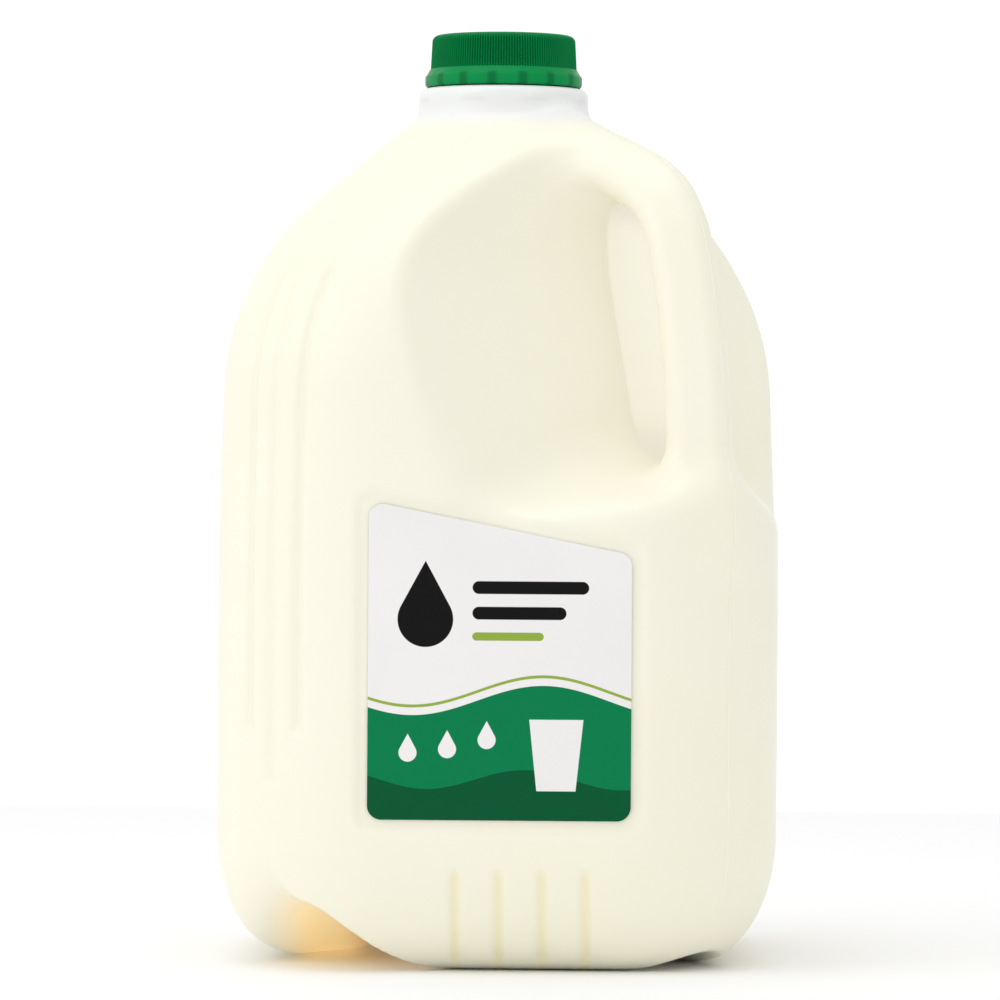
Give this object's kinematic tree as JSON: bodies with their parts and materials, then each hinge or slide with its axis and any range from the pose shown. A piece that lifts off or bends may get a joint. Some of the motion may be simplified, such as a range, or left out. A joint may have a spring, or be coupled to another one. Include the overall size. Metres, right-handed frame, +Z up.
{
  "type": "milk jug",
  "caption": "Square blow-moulded milk jug with a slanted corner handle, a ribbed screw cap on its neck and a paper label on its front face.",
  "frame": {"origin": "centre of the bounding box's bottom, on the surface the jug stands on", "axes": "+Z up along the neck; -Y out of the face with the label; the handle is at the corner towards +X and -Y"},
  "size_m": [0.1536, 0.1533, 0.2552],
  "materials": {
    "jug": "milky translucent polyethylene, filled with milk",
    "cap": "moulded green plastic, finely ribbed",
    "label": "printed coated paper, satin"
  },
  "bodies": {
    "root": {"jug": "jug", "cap": "cap", "label": "label"}
  },
  "joints": []
}
